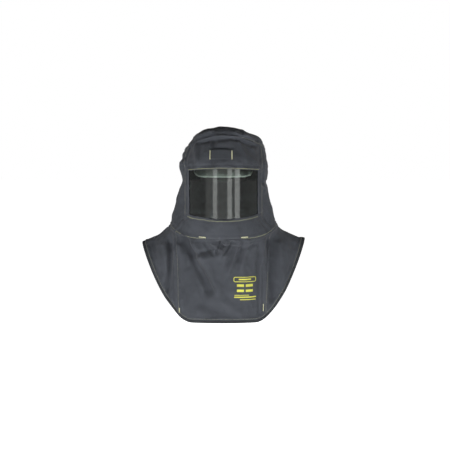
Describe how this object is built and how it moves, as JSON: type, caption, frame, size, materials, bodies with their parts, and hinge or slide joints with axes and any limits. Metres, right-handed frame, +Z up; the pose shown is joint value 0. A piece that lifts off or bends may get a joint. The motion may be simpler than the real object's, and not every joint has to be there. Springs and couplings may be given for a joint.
{
  "type": "arc flash hood",
  "caption": "Flame-resistant cloth hood and shoulder cape over a hard cap, with a curved tinted face lens behind its window.",
  "frame": {"origin": "where the crossing crown straps rest on top of the head", "axes": "+Z up along the head; the face looks along -Y; +X is to the right as seen from the front"},
  "size_m": [0.5625, 0.3659, 0.6436],
  "materials": {
    "cloth": "thick woven cloth, matt, blue-grey",
    "binding": "folded cotton tape, matt, near black",
    "lens": "polished plastic sheet with a green-grey tint",
    "cap": "moulded shell, light grey, satin gloss",
    "suspension": "moulded black plastic",
    "webbing": "woven strap, dark grey"
  },
  "bodies": {
    "root": {"crown_panel": "cloth", "brow_panel": "cloth", "chin_panel": "cloth", "back_panel": "cloth", "bib_front": "cloth", "bib_back": "cloth", "window_jamb_left": "cloth", "window_jamb_right": "cloth", "side_panel_left": "cloth", "side_panel_right": "cloth", "cape_left": "cloth", "cape_right": "cloth", "lamp_band": "cloth", "hem_binding": "binding", "face_lens": "lens", "cap_shell": "cap", "headband": "suspension", "crown_strap_lower": "webbing", "crown_strap_upper": "webbing", "suspension_key_front_left": "suspension", "suspension_key_front_right": "suspension", "suspension_key_back_left": "suspension", "suspension_key_back_right": "suspension"}
  },
  "joints": []
}
